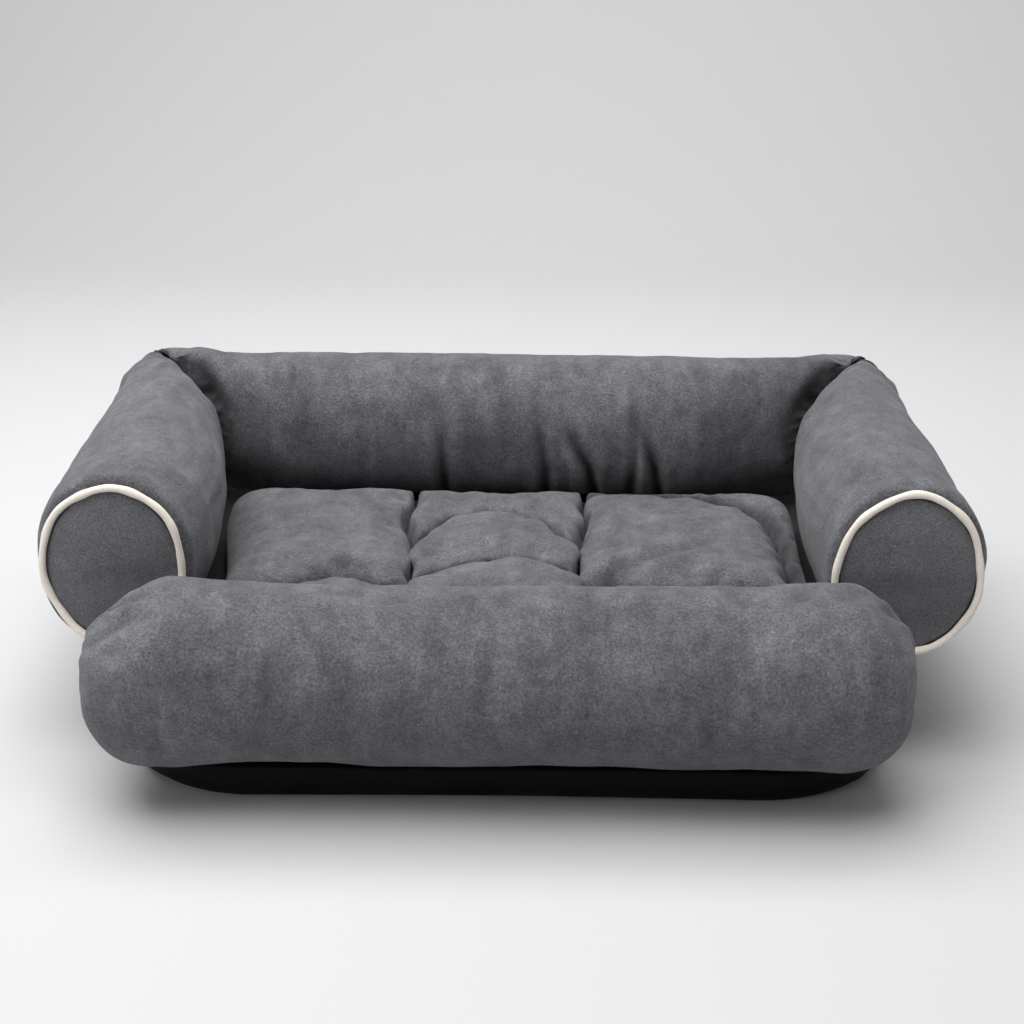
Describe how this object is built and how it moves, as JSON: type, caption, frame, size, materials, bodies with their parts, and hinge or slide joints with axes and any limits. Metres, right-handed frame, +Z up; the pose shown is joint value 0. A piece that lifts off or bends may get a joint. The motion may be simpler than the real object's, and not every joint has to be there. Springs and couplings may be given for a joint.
{
  "type": "pet cushion bed",
  "caption": "Sofa-style pet bed: mitred arm and rear rolls, a lower front roll, a loose tufted cushion in the nest and a black anti-slip base tray.",
  "frame": {"origin": "on the ground, in the middle of the bed's outline", "axes": "+X to the right as seen from the front, +Y to the rear roll, +Z up"},
  "size_m": [0.9, 0.708, 0.2826],
  "materials": {
    "suede": "matte",
    "end_suede": "matte",
    "oxford": "matte",
    "piping": "matte",
    "cord": "matte",
    "stuffing": "matte",
    "foam": "matte",
    "zip_tape": "matte",
    "zip_coil": "satin",
    "zip_metal": "satin"
  },
  "bodies": {
    "bed": {"bottom_cover": "oxford", "base_pad": "foam", "side_band": "suede", "nest_floor_panel": "suede", "nest_floor_pad": "foam", "rear_roll_cover": "suede", "rear_roll_fill": "stuffing", "front_roll_cover": "suede", "front_roll_fill": "stuffing", "left_arm_cover": "suede", "left_arm_fill": "stuffing", "left_arm_end_panel": "end_suede", "left_arm_piping": "piping", "left_arm_piping_cord": "cord", "right_arm_cover": "suede", "right_arm_fill": "stuffing", "right_arm_end_panel": "end_suede", "right_arm_piping": "piping", "right_arm_piping_cord": "cord", "base_zip_tapes": "zip_tape", "base_zip_coils": "zip_coil", "base_zip_stops": "zip_metal"},
    "cushion": {"cushion_cover": "suede", "cushion_fill": "stuffing", "cushion_zip_tapes": "zip_tape", "cushion_zip_coils": "zip_coil", "cushion_zip_stops": "zip_metal"},
    "base_zip_slider": {"base_zip_slider": "zip_metal"},
    "base_zip_pull_tab": {"base_zip_pull_tab": "zip_metal"},
    "cushion_zip_slider": {"cushion_zip_slider": "zip_metal"},
    "cushion_zip_pull_tab": {"cushion_zip_pull_tab": "zip_metal"}
  },
  "joints": [
    {"name": "cushion_lift", "type": "slide", "parent": "bed", "child": "cushion", "axis": [0, 0, 1], "range_m": [0, 0.3]},
    {"name": "base_zip_slide", "type": "slide", "parent": "bed", "child": "base_zip_slider", "axis": [-1, 0, 0], "range_m": [0, 0.495]},
    {"name": "base_zip_tab_turn", "type": "hinge", "parent": "base_zip_slider", "child": "base_zip_pull_tab", "pos_m": [0.248, 0.3233, 0.07], "axis": [0, 0, -1], "range_deg": [0, 150]},
    {"name": "cushion_zip_slide", "type": "slide", "parent": "cushion", "child": "cushion_zip_slider", "axis": [-1, 0, 0], "range_m": [0, 0.375]},
    {"name": "cushion_zip_tab_turn", "type": "hinge", "parent": "cushion_zip_slider", "child": "cushion_zip_pull_tab", "pos_m": [0.188, 0.1873, 0.1276], "axis": [0, 0, -1], "range_deg": [0, 150]}
  ]
}
